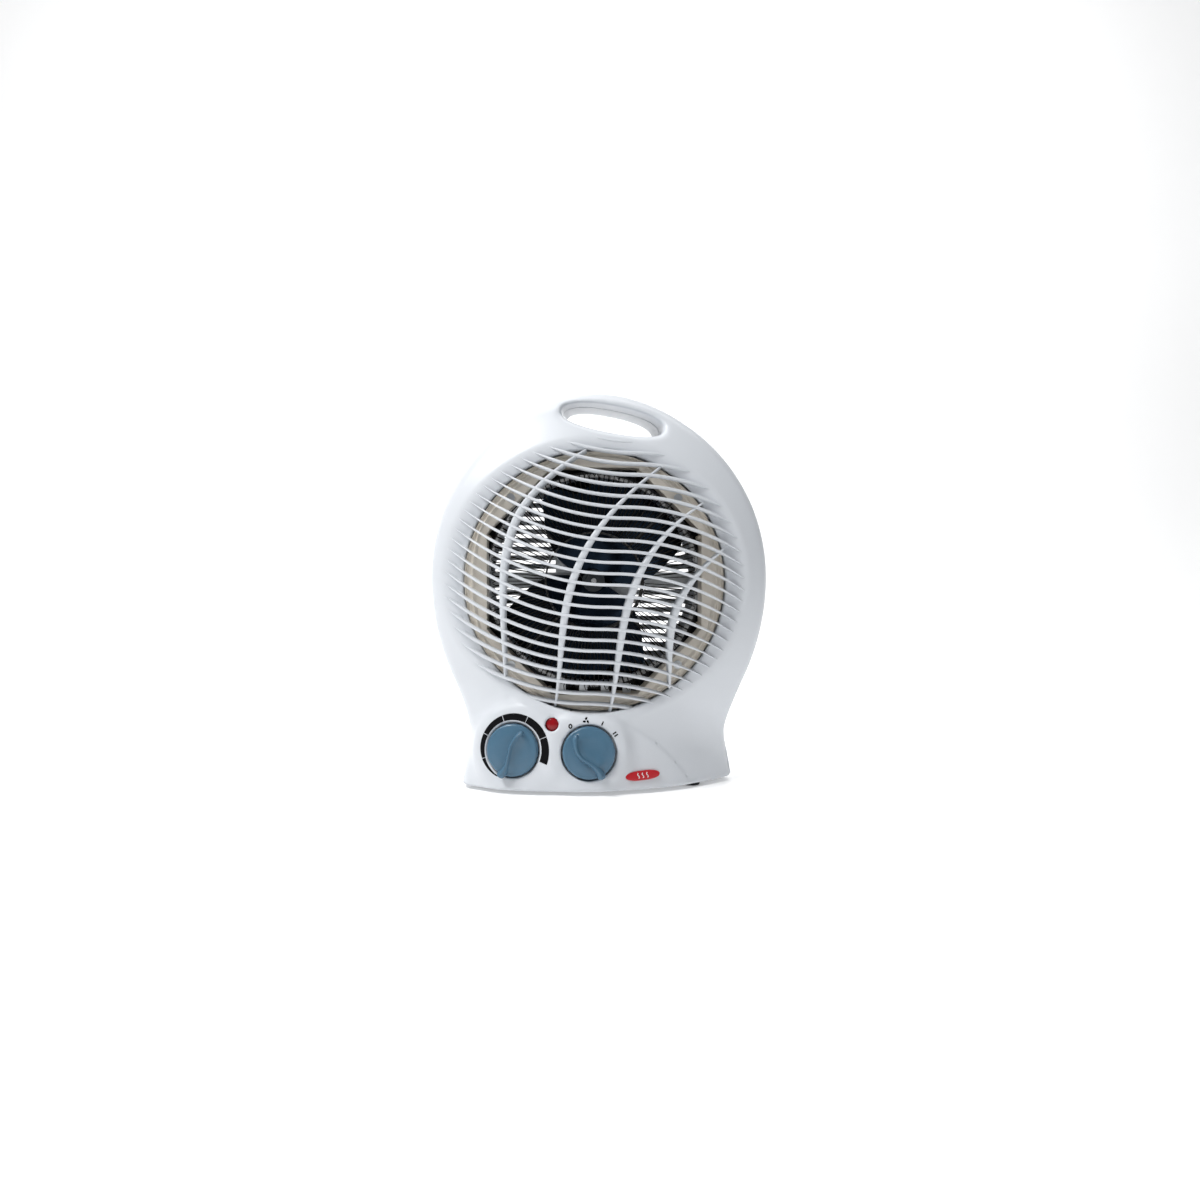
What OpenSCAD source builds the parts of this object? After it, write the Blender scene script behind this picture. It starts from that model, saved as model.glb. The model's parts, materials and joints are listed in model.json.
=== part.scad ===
// Upright fan heater: two moulded shells, a wire heater, a shaded-pole motor and two rotary controls.
// Millimetres, +Z up, the front faces -Y. The origin is at the middle of the footprint, on the floor.

/* [Casing] */
// Overall width of the casing
body_w = 245; // [241:1:249]
// Overall height, feet included
body_h = 290; // [288:1:293]
// Overall depth, front slats to rear wall
body_d = 130; // [128:1:133]
// Wall thickness of both shells
wall = 2.5; // [2.2:0.1:2.8]
// Width of the foot of the casing
foot_w = 202; // [196:1:206]

/* [Front grille] */
// Radius of the outlet opening
outlet_r = 94; // [92:0.5:95]
// Radius of the shallow dish round the outlet
dish_r = 112; // [110:0.5:113]
// Height step between neighbouring slats
slat_pitch = 7.8; // [7.5:0.1:8.2]
// Thickness of a slat
slat_t = 2.5; // [2:0.1:3]

/* [Handle] */
// Length of the finger opening
grip_w = 76; // [72:1:78]
// Height of the finger opening
grip_h = 24.4; // [23:0.2:25]
// Tilt of the finger opening, lower on the right
grip_tilt = 11; // [9:0.5:12]

/* [Controls] */
// Diameter of a control knob
knob_d = 37.6; // [36:0.2:39]
// Length of the grip fin across a knob
fin_l = 43; // [41:0.5:44]
// Diameter of the pilot light
pilot_d = 9.6; // [9:0.1:10]

/* [Fan and heater] */
// Radius swept by the fan blades
fan_r = 76; // [70:0.5:77]
// Pitch of the fan blades
blade_pitch = 16; // [12:1:18]
// Across-flats width of the heater duct
duct_w = 149; // [147:0.5:150]
// Folds in each heating wire
wire_folds = 28; // [20:1:32]

/* [Hidden] */
$fn = 64;
foot_h = 3;
fit = 0.02;              // clearance between pieces that are fastened together

front_y = -body_d / 2;
rear_y = body_d / 2;
waist_z = 153;          // height of the widest place
dome_z = 155;           // height of both dome centres
front_r = 225;
rear_r = 330;
upper_r = 139.5;        // side arcs above the widest place
lower_r = 183.5;        // side arcs below it
cap_r = 130;
flare_z = 40;           // narrowest place of the foot
flare_w = 188;

base_x = -14;           // axis of the bowed foot, left of centre
base_r = 150;
base_front = -56;
base_lean = 0.15;       // how far the foot leans back per millimetre of height
base_top = 105;
rear_base_r = 150;
rear_base_y = 52;
rear_base_top = 62;

fan_x = -4;
fan_z = 151;
dish_h = 96;            // half height of the dish
dish_depth = 5;
slat_depth = 4;
slat_count = 25;
slat_low = 55.5;        // height of the lowest slat
slat_bend = 0.00324;    // curvature of the wave
slat_shift = 0.22;      // sideways drift of the wave per millimetre of height
rib_depth = 6;
rib_w = 5.5;

grip_x = 8.6;
grip_z = 266.5;

knob_xz = [[-62, 31], [-8.4, 30]];
knob_proud = [1.4, 0.2]; // how far each seat stands out of the bowed foot
knob_yaw = [-12, -2];
knob_lean = 6;
knob_rest = [30, -35];  // angle of each pointer, clockwise from straight up
knob_h = 6;
fin_w = 5.6;
fin_h = 10;
knob_gap = 0.6;
seat_r = 22.4;
well_depth = 0.3;       // shallow well that each knob turns in
control_holes = [-14, 14];
knob_shaft_r = 3;
shaft_bore_r = 3.05;
pilot_xz = [-34.3, 49.5];
badge_xz = [29.5, 12.8];
badge_size = [26.5, 7];

flange_holes = [[-84, -20], [84, -20], [-84, 20], [84, 20]];
arm_holes = [-87, 87];
screw_seat_y = 14;
shell_screws_at = [[-88, 216], [88, 216], [-80, 44], [80, 44]];
feet_at = [[-68, -18], [68, -18], [-68, 24], [68, 24]];
foot_r = 7;
screw_r = 1.9;

baffle_y = -35;
baffle_r = 91;
baffle_lip = 1.5;       // height of the rim round the baffle
board_t = 1;
duct_y = [-33.4, -8];
inner_r = 36;
wire_y = [-27, -15];
wire_r = 0.7;
shroud_y = [-7, 20];
shroud_r = 79.5;
flange_r = 99;
fan_y = 8;
hub_r = 9;
blade_w = 100;
shaft_r = 2;
shaft_y = [-9, 55];
rotor_r = 12.5;
stator_y = [29, 44];
motor_holes = [25.4, 21];
stator_w = 58;
stator_h = 50;
rotor_gap = 0.4;
plate_t = 1.4;
bracket_y = 27.5;

cord_at = [58, 22];
cord_r = 3.6;
clamp_y = 26;           // middle of the cord clamp
clamp_holes = [-9, 9];

// ---------- helpers ----------

// Extrudes a drawing made in X and Z along Y, from y0 to y1.
module along_y(y0, y1) {
    translate([0, y1, 0]) rotate([90, 0, 0]) linear_extrude(y1 - y0) children();
}

// A round bar along Y.
module bar_y(x, z, r, y0, y1) {
    translate([x, y1, z]) rotate([90, 0, 0]) cylinder(r = r, h = y1 - y0);
}

// A box by its lowest and highest corners.
module block(low, high) {
    translate(low) cube(high - low);
}

// A slot with round ends, centred, long side along X.
module stadium(length, height) {
    r = height / 2;
    half = length / 2 - r;
    translate([-half, 0]) circle(r);
    translate([half, 0]) circle(r);
    square([2 * half, height], center = true);
}

// A round tube swept along a list of points.
function unit(v) = v / norm(v);
function tangent(p, i) =
    unit(p[min(i + 1, len(p) - 1)] - p[max(i - 1, 0)]);
function ring(p, i, r, n, up) =
    let (t = tangent(p, i), a = unit(cross(t, up)), b = cross(a, t))
    [for (k = [0 : n - 1]) p[i] + r * (cos(360 * k / n) * a + sin(360 * k / n) * b)];
module tube(p, r, n = 6, up = [0, 1, 0]) {
    last = len(p) - 1;
    sides = [for (i = [0 : last - 1], k = [0 : n - 1])
        [i * n + k, i * n + (k + 1) % n, (i + 1) * n + (k + 1) % n, (i + 1) * n + k]];
    start = [for (k = [n - 1 : -1 : 0]) k];
    finish = [for (k = [0 : n - 1]) last * n + k];
    polyhedron([for (i = [0 : last]) each ring(p, i, r, n, up)], concat(sides, [start, finish]));
}

// A point on a smooth curve through four control points.
function bezier(c, t) =
    pow(1 - t, 3) * c[0] + 3 * t * pow(1 - t, 2) * c[1] + 3 * t * t * (1 - t) * c[2] + pow(t, 3) * c[3];
function route(c, steps = 10) = [for (i = [0 : steps]) bezier(c, i / steps)];

// ---------- casing shapes ----------

module lens(r, inset) {
    intersection_for (side = [-1, 1])
        translate([side * (body_w / 2 - r), waist_z]) circle(r - inset);
}

// Front outline of the casing, in X and Z.
module outline(inset = 0) {
    low = foot_h + inset;
    intersection() {
        lens(upper_r, inset);
        translate([0, body_h - cap_r]) circle(cap_r - inset);
        translate([-body_w, waist_z - 30]) square([2 * body_w, body_h]);
    }
    intersection() {
        lens(lower_r, inset);
        translate([-body_w, low]) square([2 * body_w, waist_z - low]);
    }
    polygon([
        [-foot_w / 2 + inset, low], [foot_w / 2 - inset, low],
        [flare_w / 2 - inset, flare_z], [flare_w / 2 - inset, flare_z + 22],
        [-flare_w / 2 + inset, flare_z + 22], [-flare_w / 2 + inset, flare_z]
    ]);
}

module front_dome(inset) {
    translate([0, front_y + front_r, dome_z]) sphere(front_r - inset, $fn = 200);
}

module rear_dome(inset) {
    translate([0, rear_y - rear_r, dome_z]) sphere(rear_r - inset, $fn = 200);
}

// Front of the bowed foot at a place in X and Z.
function foot_y(p) =
    base_front + base_r - sqrt(pow(base_r - base_lean * p[1], 2) - pow(p[0] - base_x, 2));

function knob_pos(i) = [knob_xz[i][0], foot_y(knob_xz[i]) - knob_proud[i], knob_xz[i][1]];

module on_knob(i, up = 0) {
    translate(knob_pos(i)) rotate([90 - knob_lean, 0, knob_yaw[i]]) translate([0, 0, up]) children();
}

module on_pilot() {
    translate([pilot_xz[0], foot_y(pilot_xz), pilot_xz[1]]) rotate([90 - knob_lean, 0, -8]) children();
}

// The front half as a filled body, pulled in by inset.
module front_mass(inset) {
    intersection() {
        along_y(front_y, 0) outline(inset);
        union() {
            front_dome(inset);
            translate([base_x, base_front + base_r, 0])
                cylinder(r1 = base_r - inset, r2 = base_r - inset - base_lean * base_top, h = base_top);
            for (i = [0, 1]) on_knob(i, -30) cylinder(r = seat_r - inset, h = 30 - inset);
        }
    }
}

module rear_mass(inset) {
    intersection() {
        along_y(0, rear_y) outline(inset);
        union() {
            rear_dome(inset);
            translate([0, rear_base_y - rear_base_r, 0])
                cylinder(r = rear_base_r - inset, h = rear_base_top - inset);
        }
    }
}

module grip_shape(grow) {
    translate([grip_x, grip_z]) rotate(-grip_tilt) stadium(grip_w + 2 * grow, grip_h + 2 * grow);
}

module dish_shape(grow) {
    translate([fan_x, fan_z]) intersection() {
        circle(dish_r + grow);
        square([3 * dish_r, 2 * dish_h + 2 * grow], center = true);
    }
}

// Height of a slat's middle line at x, for a slat that runs level at height z.
function slat_centre(z) = 7 + slat_shift * (z - fan_z);
function slat_z(x, z) = z - slat_bend * (x - slat_centre(z)) * abs(x - slat_centre(z));
slat_xs = [-118, -98, -78, -56, -34, -12, 8, 30, 52, 76, 98, 112];
module slat(z) {
    polygon(concat(
        [for (x = slat_xs) [x, slat_z(x, z) - slat_t / 2]],
        [for (i = [len(slat_xs) - 1 : -1 : 0]) [slat_xs[i], slat_z(slat_xs[i], z) + slat_t / 2]]
    ));
}

// Control points of the four ribs that cross the slats.
rib_curves = [
    [[-14, 243], [-76, 203], [-71, 168], [-69, 88]],
    [[39, 230], [-36, 170], [-24, 122], [-32, 66]],
    [[70, 205], [8, 162], [17, 108], [7, 57]],
    [[86, 172], [42, 136], [50, 110], [50, 77]]
];
rib_steps = 7;
function rib_width(t) = 1.8 + (rib_w - 1.8) * sin(180 * t);
function rib_side(c, t, side) =
    let (p = bezier(c, t), q = bezier(c, t + 0.01) - bezier(c, t - 0.01), n = unit([-q[1], q[0]]))
    p + side * rib_width(t) / 2 * n;
module rib(c) {
    polygon(concat(
        [for (i = [0 : rib_steps]) rib_side(c, i / rib_steps, 1)],
        [for (i = [rib_steps : -1 : 0]) rib_side(c, i / rib_steps, -1)]
    ));
}

module grille() {
    intersection() {
        difference() {
            front_dome(0);
            front_dome(slat_depth);
        }
        along_y(front_y - 1, -20) intersection() {
            dish_shape(1);
            union() for (k = [0 : slat_count - 1]) slat(slat_low + k * slat_pitch);
        }
    }
    intersection() {
        difference() {
            front_dome(1);
            front_dome(rib_depth);
        }
        along_y(front_y - 1, -20) intersection() {
            translate([fan_x, fan_z]) circle(outlet_r + 6);
            union() for (c = rib_curves) rib(c);
        }
    }
}

module front_shell() {
    color("white") {
        difference() {
            union() {
                difference() {
                    front_mass(0);
                    front_mass(wall);
                    along_y(-wall, 1) outline(wall);
                }
                // wall of the dish and its floor
                intersection() {
                    front_mass(0);
                    difference() {
                        along_y(front_y, -20) dish_shape(wall);
                        front_dome(dish_depth + wall);
                    }
                }
                // wall of the finger opening
                intersection() {
                    front_mass(0);
                    along_y(front_y, 0) grip_shape(wall);
                }
                // screw pillars
                intersection() {
                    front_mass(0);
                    for (p = shell_screws_at) bar_y(p[0], p[1], 5, -40, -0.4);
                }
                // bosses that the controls are screwed to
                for (i = [0, 1], x = control_holes) on_knob(i, -5.5) translate([x, 0, 0])
                    cylinder(r = 3, h = 4);
            }
            along_y(front_y - 1, 1) grip_shape(0);
            intersection() {
                along_y(front_y - 1, 1) dish_shape(0);
                difference() {
                    front_dome(-1);
                    front_dome(dish_depth);
                }
            }
            bar_y(fan_x, fan_z, outlet_r, front_y - 1, -10);
            for (p = shell_screws_at) bar_y(p[0], p[1], screw_r + fit, -14, 1);
            for (i = [0, 1]) on_knob(i, -10) cylinder(r = shaft_bore_r + 1, h = 20);
            for (i = [0, 1]) on_knob(i, -well_depth) cylinder(r = knob_d / 2 + 1.3, h = 12);
            for (i = [0, 1], x = control_holes) on_knob(i, -6) translate([x, 0, 0])
                cylinder(r = 1.4 + fit, h = 3.6);
            on_pilot() translate([0, 0, -10]) cylinder(r = pilot_d / 2 + 0.05, h = 20);
        }
        grille();
    }
}

// ---------- rear shell ----------

intake_r = 78;
intake_pitch = 7;
intake_slot = 3.6;

module rear_shell() {
    color("white") difference() {
        union() {
            difference() {
                rear_mass(0);
                rear_mass(wall);
                along_y(-1, wall) outline(wall);
            }
            intersection() {
                rear_mass(0);
                along_y(0, rear_y) grip_shape(wall);
            }
            intersection() {
                rear_mass(0);
                for (p = shell_screws_at) bar_y(p[0], p[1], 6.5, 0, rear_y);
            }
            intersection() {
                rear_mass(0);
                union() {
                    for (p = flange_holes)
                        bar_y(fan_x + p[0], fan_z + p[1], 4.5, shroud_y[1] + 1.6, rear_y);
                    for (x = arm_holes) bar_y(fan_x + x, fan_z, 4.5, bracket_y + plate_t + 0.1, rear_y);
                }
            }
            for (x = clamp_holes) translate([cord_at[0] + x, clamp_y, foot_h + 1]) cylinder(r = 3.4, h = 8.7);
        }
        along_y(-1, rear_y + 1) grip_shape(0);
        for (p = shell_screws_at) {
            bar_y(p[0], p[1], screw_r + 0.3, -1, rear_y);
            bar_y(p[0], p[1], 4.2, screw_seat_y, rear_y + 1);
        }
        for (p = flange_holes) bar_y(fan_x + p[0], fan_z + p[1], 1.5 + fit, 0, 34);
        for (x = arm_holes) bar_y(fan_x + x, fan_z, 1.5 + fit, 0, 41);
        intersection() {
            bar_y(fan_x, fan_z, intake_r, 30, rear_y + 1);
            for (k = [-10 : 10])
                block([fan_x - intake_r, 30, fan_z + k * intake_pitch - intake_slot / 2],
                      [fan_x + intake_r, rear_y + 1, fan_z + k * intake_pitch + intake_slot / 2]);
        }
        bar_y(cord_at[0], cord_at[1], cord_r + 2.3, 33, rear_y + 1);
        for (x = clamp_holes) translate([cord_at[0] + x, clamp_y, 5.5]) cylinder(r = 1.55 + fit, h = 10);
    }
}

module shell_screws() {
    color("silver") for (p = shell_screws_at) {
        bar_y(p[0], p[1], screw_r, -12, screw_seat_y + 0.1);
        difference() {
            bar_y(p[0], p[1], 3.6, screw_seat_y + 0.05, screw_seat_y + 2.6);
            for (turn = [0, 90]) translate([p[0], screw_seat_y + 2.6, p[1]]) rotate([0, turn, 0])
                cube([4.8, 2.4, 0.8], center = true);
        }
    }
}

module rubber_feet() {
    color("dimgray") for (p = feet_at) translate([p[0], p[1], 0]) {
        cylinder(r1 = foot_r - 0.6, r2 = foot_r, h = foot_h);
    }
}

// ---------- controls ----------

module heat_badge() {
    turn = asin((badge_xz[0] - base_x) / (base_r - base_lean * badge_xz[1]));
    color("firebrick") translate([badge_xz[0], foot_y(badge_xz), badge_xz[1]])
        rotate([90 - atan(base_lean), 0, turn]) translate([0, 0, 0.15]) linear_extrude(0.8)
            stadium(badge_size[0], badge_size[1]);
}

module knob(i) {
    on_knob(i, knob_gap) difference() {
        union() {
            cylinder(r1 = knob_d / 2, r2 = knob_d / 2 - 0.8, h = knob_h);
            rotate(-knob_rest[i]) translate([0, 0, 0.6]) linear_extrude(fin_h - 0.6) stadium(fin_w, fin_w);
            rotate(90 - knob_rest[i]) translate([0, 0, 0.6]) linear_extrude(fin_h - 0.6)
                stadium(fin_l, fin_w);
        }
        translate([0, 0, -1]) cylinder(r = knob_shaft_r + fit, h = 7.2);
    }
}

module spindle(i) {
    on_knob(i, -14) cylinder(r = knob_shaft_r, h = 20 + knob_gap);
}

module thermostat_knob() { color("steelblue") knob(0); }
module function_knob() { color("steelblue") knob(1); }
module thermostat_spindle() { color("silver") spindle(0); }
module function_spindle() { color("silver") spindle(1); }

module thermostat_housing() {
    color("ivory") on_knob(0, -17) difference() {
        union() {
            translate([-11, -9, 0]) cube([22, 18, 9]);
            cylinder(r = 6, h = 12);
            translate([-17, -4, 10]) cube([34, 8, 1.4]);
        }
        translate([0, 0, 2.8]) cylinder(r = shaft_bore_r, h = 20);
        for (x = control_holes) translate([x, 0, 9.5]) cylinder(r = 1.6, h = 5);
    }
}

module thermostat_leaf() {
    color("goldenrod") on_knob(0, -17) {
        translate([-10, -2.5, -3]) cube([20, 5, 0.6]);
        translate([8, -2.5, -3]) cube([2, 5, 3]);
        translate([-9, 0, -2.4]) cylinder(r = 1.5, h = 1.2);
    }
}

module function_switch() {
    color("ivory") on_knob(1, -17) difference() {
        union() {
            translate([-11.2, -12, -8]) cube([22.4, 24, 17]);
            cylinder(r = 6, h = 12);
            translate([-17, -4, 10]) cube([34, 8, 1.4]);
            for (x = [-8, 0, 8]) translate([x - 0.4, -3, -14]) cube([0.8, 6, 7]);
        }
        translate([0, 0, 2.8]) cylinder(r = shaft_bore_r, h = 20);
        for (x = control_holes) translate([x, 0, 9.5]) cylinder(r = 1.6, h = 5);
    }
}

module control_screws() {
    color("silver") for (i = [0, 1], x = control_holes) on_knob(i, -8.6) translate([x, 0, 0]) {
        cylinder(r = 2.6, h = 1.55);
        cylinder(r = 1.4, h = 5.6);
    }
}

module pilot_lens() {
    color("red") on_pilot() {
        translate([0, 0, -6]) cylinder(r = pilot_d / 2, h = 7);
        translate([0, 0, -7]) cylinder(r = pilot_d / 2 - 1.2, h = 1.2);
    }
}

module pilot_lamp() {
    color("orange") on_pilot() translate([0, 0, -17]) {
        cylinder(r = 2.4, h = 9.6);
        for (x = [-1, 1]) translate([x, 0, -6]) cylinder(r = 0.4, h = 6.4);
    }
}

// ---------- heater ----------

module octagon(width) {
    circle(width / 2 / cos(22.5), $fn = 8);
}

module at_axis() { translate([fan_x, fan_z]) children(); }

module heater_baffle() {
    color("tan") {
        along_y(baffle_y, baffle_y + 1.6) at_axis() difference() {
            circle(baffle_r);
            rotate(22.5) octagon(duct_w - 1);
            for (a = [0 : 90 : 270]) rotate(a + 45) translate([85, 0]) circle(1.6);
        }
        along_y(baffle_y - baffle_lip, baffle_y) at_axis() difference() {
            circle(baffle_r);
            circle(baffle_r - 2);
        }
    }
}

module heater_duct() {
    color("tan") along_y(duct_y[0], duct_y[1]) at_axis() rotate(22.5) difference() {
        octagon(duct_w + 2 * board_t);
        octagon(duct_w);
    }
}

module heater_inner_ring() {
    color("tan") along_y(duct_y[0] + 2, duct_y[1] - 2) at_axis() difference() {
        circle(inner_r);
        circle(inner_r - board_t);
    }
}

module heater_cross_boards() {
    color("tan") for (a = [45 : 90 : 315]) translate([fan_x, 0, fan_z]) rotate([0, a, 0])
        difference() {
            block([inner_r + 0.1, duct_y[0] + 4, -board_t / 2],
                  [duct_w / 2 - 0.1, duct_y[1] - 4, board_t / 2]);
            // notches that the wires lie in
            block([inner_r + 2, duct_y[0] + 3, -1], [duct_w / 2 - 2.5, wire_y[0] + 1.2, 1]);
            block([inner_r + 2, wire_y[1] - 1.2, -1], [duct_w / 2 - 2.5, duct_y[1], 1]);
        }
}

// Zigzag wire between the inner ring and the duct.
function fold(i, y) =
    let (a = i * 360 / (2 * wire_folds) + 4, r = i % 2 == 0 ? inner_r + 3 : duct_w / 2 - 4)
    [fan_x + r * sin(a), y, fan_z + r * cos(a)];
module heating_wire(y) {
    color("gray") tube([for (i = [0 : 2 * wire_folds - 3]) fold(i, y)], wire_r, 6, [0, 1, 0]);
}
module heating_wire_front() { heating_wire(wire_y[0]); }
module heating_wire_rear() { heating_wire(wire_y[1]); }

module heater_terminals() {
    top = fan_z - duct_w / 2 - board_t;
    color("silver") for (x = [-24, -8, 8, 24])
        block([fan_x + x - 3, -20, top - 13], [fan_x + x + 3, -19.2, top]);
}

module thermal_cutout() {
    color("silver") translate([46, -22, 66]) rotate([-90, 0, 0]) {
        cylinder(r = 6, h = 6);
        translate([-9, -2.5, 0]) cube([18, 5, 0.8]);
    }
}

module thermal_fuse() {
    color("gainsboro") translate([-56, -22, 66]) rotate([0, 90, 0]) {
        cylinder(r = 2, h = 11);
        translate([0, 0, -8]) cylinder(r = 0.5, h = 27);
    }
}

module heater_screws() {
    color("silver") for (a = [45 : 90 : 315]) translate([fan_x, 0, fan_z]) rotate([0, a, 0])
        translate([85, 0, 0]) rotate([90, 0, 0]) {
            translate([0, 0, 35]) cylinder(r = 3, h = 1.8);
            translate([0, 0, 26.4]) cylinder(r = 1.5, h = 8.7);
        }
}

// ---------- fan and motor ----------

module fan_shroud() {
    color("gainsboro") {
        along_y(shroud_y[0], shroud_y[1]) at_axis() difference() {
            circle(shroud_r + 1.5);
            circle(shroud_r);
        }
        along_y(shroud_y[1], shroud_y[1] + 1.5) at_axis() difference() {
            circle(flange_r);
            circle(shroud_r);
            for (p = flange_holes) translate(p) circle(1.8);
        }
        // four posts carry the baffle
        for (a = [45 : 90 : 315]) translate([fan_x, 0, fan_z]) rotate([0, a, 0])
            difference() {
                translate([85, shroud_y[1] + 1, 0]) rotate([90, 0, 0])
                    cylinder(r = 4.5, h = shroud_y[1] + 1 - baffle_y - 1.7);
                translate([85, -25, 0]) rotate([90, 0, 0]) cylinder(r = 1.5 + fit, h = 10);
            }
    }
}

module mounting_screw(x, z, y) {
    bar_y(fan_x + x, fan_z + z, 1.5, y - 0.1, y + 11);
    bar_y(fan_x + x, fan_z + z, 3, y - 1.8, y - 0.05);
}

module mounting_screws() {
    color("silver") {
        for (p = flange_holes) mounting_screw(p[0], p[1], shroud_y[1]);
        for (x = arm_holes) mounting_screw(x, 0, bracket_y);
    }
}

module at_motor_holes() {
    for (x = [-motor_holes[0], motor_holes[0]], z = [-motor_holes[1], motor_holes[1]]) translate([x, z])
        children();
}

module motor_bracket() {
    color("silver") along_y(bracket_y, bracket_y + plate_t) at_axis() difference() {
        union() {
            square([stator_w, stator_h], center = true);
            square([2 * arm_holes[1] + 12, 12], center = true);
        }
        circle(rotor_r + 1);
        translate([0, -26]) square([43.6, 18], center = true);
        at_motor_holes() circle(1.8);
        for (x = arm_holes) translate([x, 0]) circle(1.8);
    }
}

module motor_stator() {
    color("slategray") along_y(stator_y[0], stator_y[1]) at_axis() difference() {
        translate([0, -6]) square([stator_w, stator_h + 12], center = true);
        circle(rotor_r + rotor_gap);
        for (side = [-1, 1]) translate([side * 18.5 - 3, -31.5]) square([6, 14]);
        at_motor_holes() circle(1.8);
    }
}

module motor_coil() {
    color("orange") translate([fan_x, (stator_y[0] + stator_y[1]) / 2, fan_z - 24.5]) difference() {
        cube([42.4, 27, 13], center = true);
        cube([31.4, stator_y[1] - stator_y[0] + 0.4, 20], center = true);
    }
}

// A bent steel strip that holds a bearing: the strip at y, and its two feet at foot_y0.
module bearing_bridge(y, foot_y0) {
    along_y(y, y + plate_t) at_axis() difference() {
        union() {
            square([57.4, 10], center = true);
            circle(9);
        }
        circle(5.05);
    }
    for (side = [-1, 1]) block([fan_x + side * 28 - 0.7, min(y, foot_y0), fan_z - 5],
                               [fan_x + side * 28 + 0.7, max(y, foot_y0) + plate_t, fan_z + 5]);
    along_y(foot_y0, foot_y0 + plate_t) at_axis() difference() {
        for (side = [-1, 1]) translate([side * motor_holes[0], 0]) square([6.6, stator_h], center = true);
        at_motor_holes() circle(1.8);
    }
}

module front_bearing_bridge() { color("silver") bearing_bridge(21.6, bracket_y - plate_t - 0.05); }
module rear_bearing_bridge() { color("silver") bearing_bridge(50.2, stator_y[1] + 0.05); }

module bearing(y) {
    along_y(y - 2.4, y + 3.8) at_axis() difference() {
        circle(5.03);
        circle(shaft_r + 0.03);
    }
}

module front_bearing() { color("goldenrod") bearing(21.6); }
module rear_bearing() { color("goldenrod") bearing(50.2); }

module motor_screws() {
    color("silver") {
        along_y(25, 48) at_axis() at_motor_holes() circle(1.7);
        along_y(24, 26) at_axis() at_motor_holes() circle(3);
        along_y(45.5, 47.6) at_axis() at_motor_holes() circle(3.2);
    }
}

module motor_rotor() {
    color("slategray") along_y(stator_y[0] - 1, stator_y[1] + 1) at_axis() difference() {
        circle(rotor_r);
        circle(shaft_r + fit);
    }
}

module motor_shaft() {
    color("silver") bar_y(fan_x, fan_z, shaft_r, shaft_y[0], shaft_y[1]);
}

module fan_impeller() {
    color("black") difference() {
        union() {
            bar_y(fan_x, fan_z, hub_r, 1, 15);
            intersection() {
                difference() {
                    bar_y(fan_x, fan_z, fan_r, -10, 22);
                    bar_y(fan_x, fan_z, 4, -10, 22);
                }
                for (a = [20, 200]) translate([fan_x, fan_y, fan_z])
                    rotate([0, a, 0]) rotate([0, 0, blade_pitch])
                        translate([-blade_w / 2, -0.8, 4]) cube([blade_w, 1.6, fan_r]);
            }
        }
        bar_y(fan_x, fan_z, shaft_r + fit, -20, 30);
    }
}

module fan_nut() {
    color("silver") along_y(-5.4, -1) at_axis() difference() {
        circle(6, $fn = 6);
        circle(shaft_r + fit);
    }
}

module fan_washer() {
    color("silver") along_y(-0.95, 0.95) at_axis() difference() {
        circle(8.4);
        circle(shaft_r + 0.05);
    }
}

// ---------- mains entry and wiring ----------

module terminal_block() {
    color("ivory") difference() {
        block([20, 2, 5.6], [50, 16, 21]);
        for (x = [27, 35, 43]) translate([x, 9, 14]) cylinder(r = 2.5, h = 10);
        for (x = [27, 35, 43]) bar_y(x, 11, 2, 1, 17);
    }
}

module cord_clamp() {
    color("ivory") difference() {
        block([cord_at[0] - 13, clamp_y - 4, 13], [cord_at[0] + 13, clamp_y + 4, 18.2]);
        bar_y(cord_at[0], cord_at[1], cord_r, 20, 40);
        for (x = clamp_holes) translate([cord_at[0] + x, clamp_y, 0]) cylinder(r = 1.6, h = 30);
    }
}

module cord_clamp_screws() {
    color("silver") for (x = clamp_holes) translate([cord_at[0] + x, clamp_y, 6]) {
        cylinder(r = 1.55, h = 12.5);
        translate([0, 0, 12.25]) cylinder(r = 3, h = 1.8);
    }
}

module cord_inlet() {
    color("dimgray") difference() {
        union() {
            bar_y(cord_at[0], cord_at[1], cord_r + 2.25, 34, 44);
            // flange that follows the inside of the rear wall
            intersection() {
                bar_y(cord_at[0], cord_at[1], cord_r + 4.2, 31, 41);
                difference() {
                    rear_mass(wall + 0.1);
                    rear_mass(wall + 1.6);
                }
            }
        }
        bar_y(cord_at[0], cord_at[1], cord_r, 30, 50);
    }
}

wire_d = 2;
module wire(c) { tube(route(c), wire_d / 2, 6, [0.9, 0.1, 0.3]); }

module mains_wires() {
    color("saddlebrown") wire([[27, 0.8, 11], [24, -14, 11], [2, -6, 22], [-0.4, -19.2, 26.8]]);
}
module heater_wires() {
    color("white") wire([[-12, -18, 63], [-12, -8, 50], [-16, -8, 38], [-16.4, -19.2, 27]]);
}
module motor_wires() {
    color("steelblue") wire([[-12, 51.4, 122], [-12, 56, 90], [36, 40, 60], [35, 17.4, 11]]);
}

front_shell();
rear_shell();
shell_screws();
rubber_feet();
heat_badge();
thermostat_knob();
thermostat_spindle();
function_knob();
function_spindle();
thermostat_housing();
thermostat_leaf();
function_switch();
control_screws();
pilot_lens();
pilot_lamp();
heater_baffle();
heater_duct();
heater_inner_ring();
heater_cross_boards();
heating_wire_front();
heating_wire_rear();
heater_terminals();
thermal_cutout();
thermal_fuse();
heater_screws();
fan_shroud();
mounting_screws();
motor_bracket();
motor_stator();
motor_coil();
front_bearing_bridge();
rear_bearing_bridge();
front_bearing();
rear_bearing();
motor_screws();
motor_rotor();
motor_shaft();
fan_impeller();
fan_nut();
fan_washer();
terminal_block();
cord_clamp();
cord_clamp_screws();
cord_inlet();
mains_wires();
heater_wires();
motor_wires();
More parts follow.
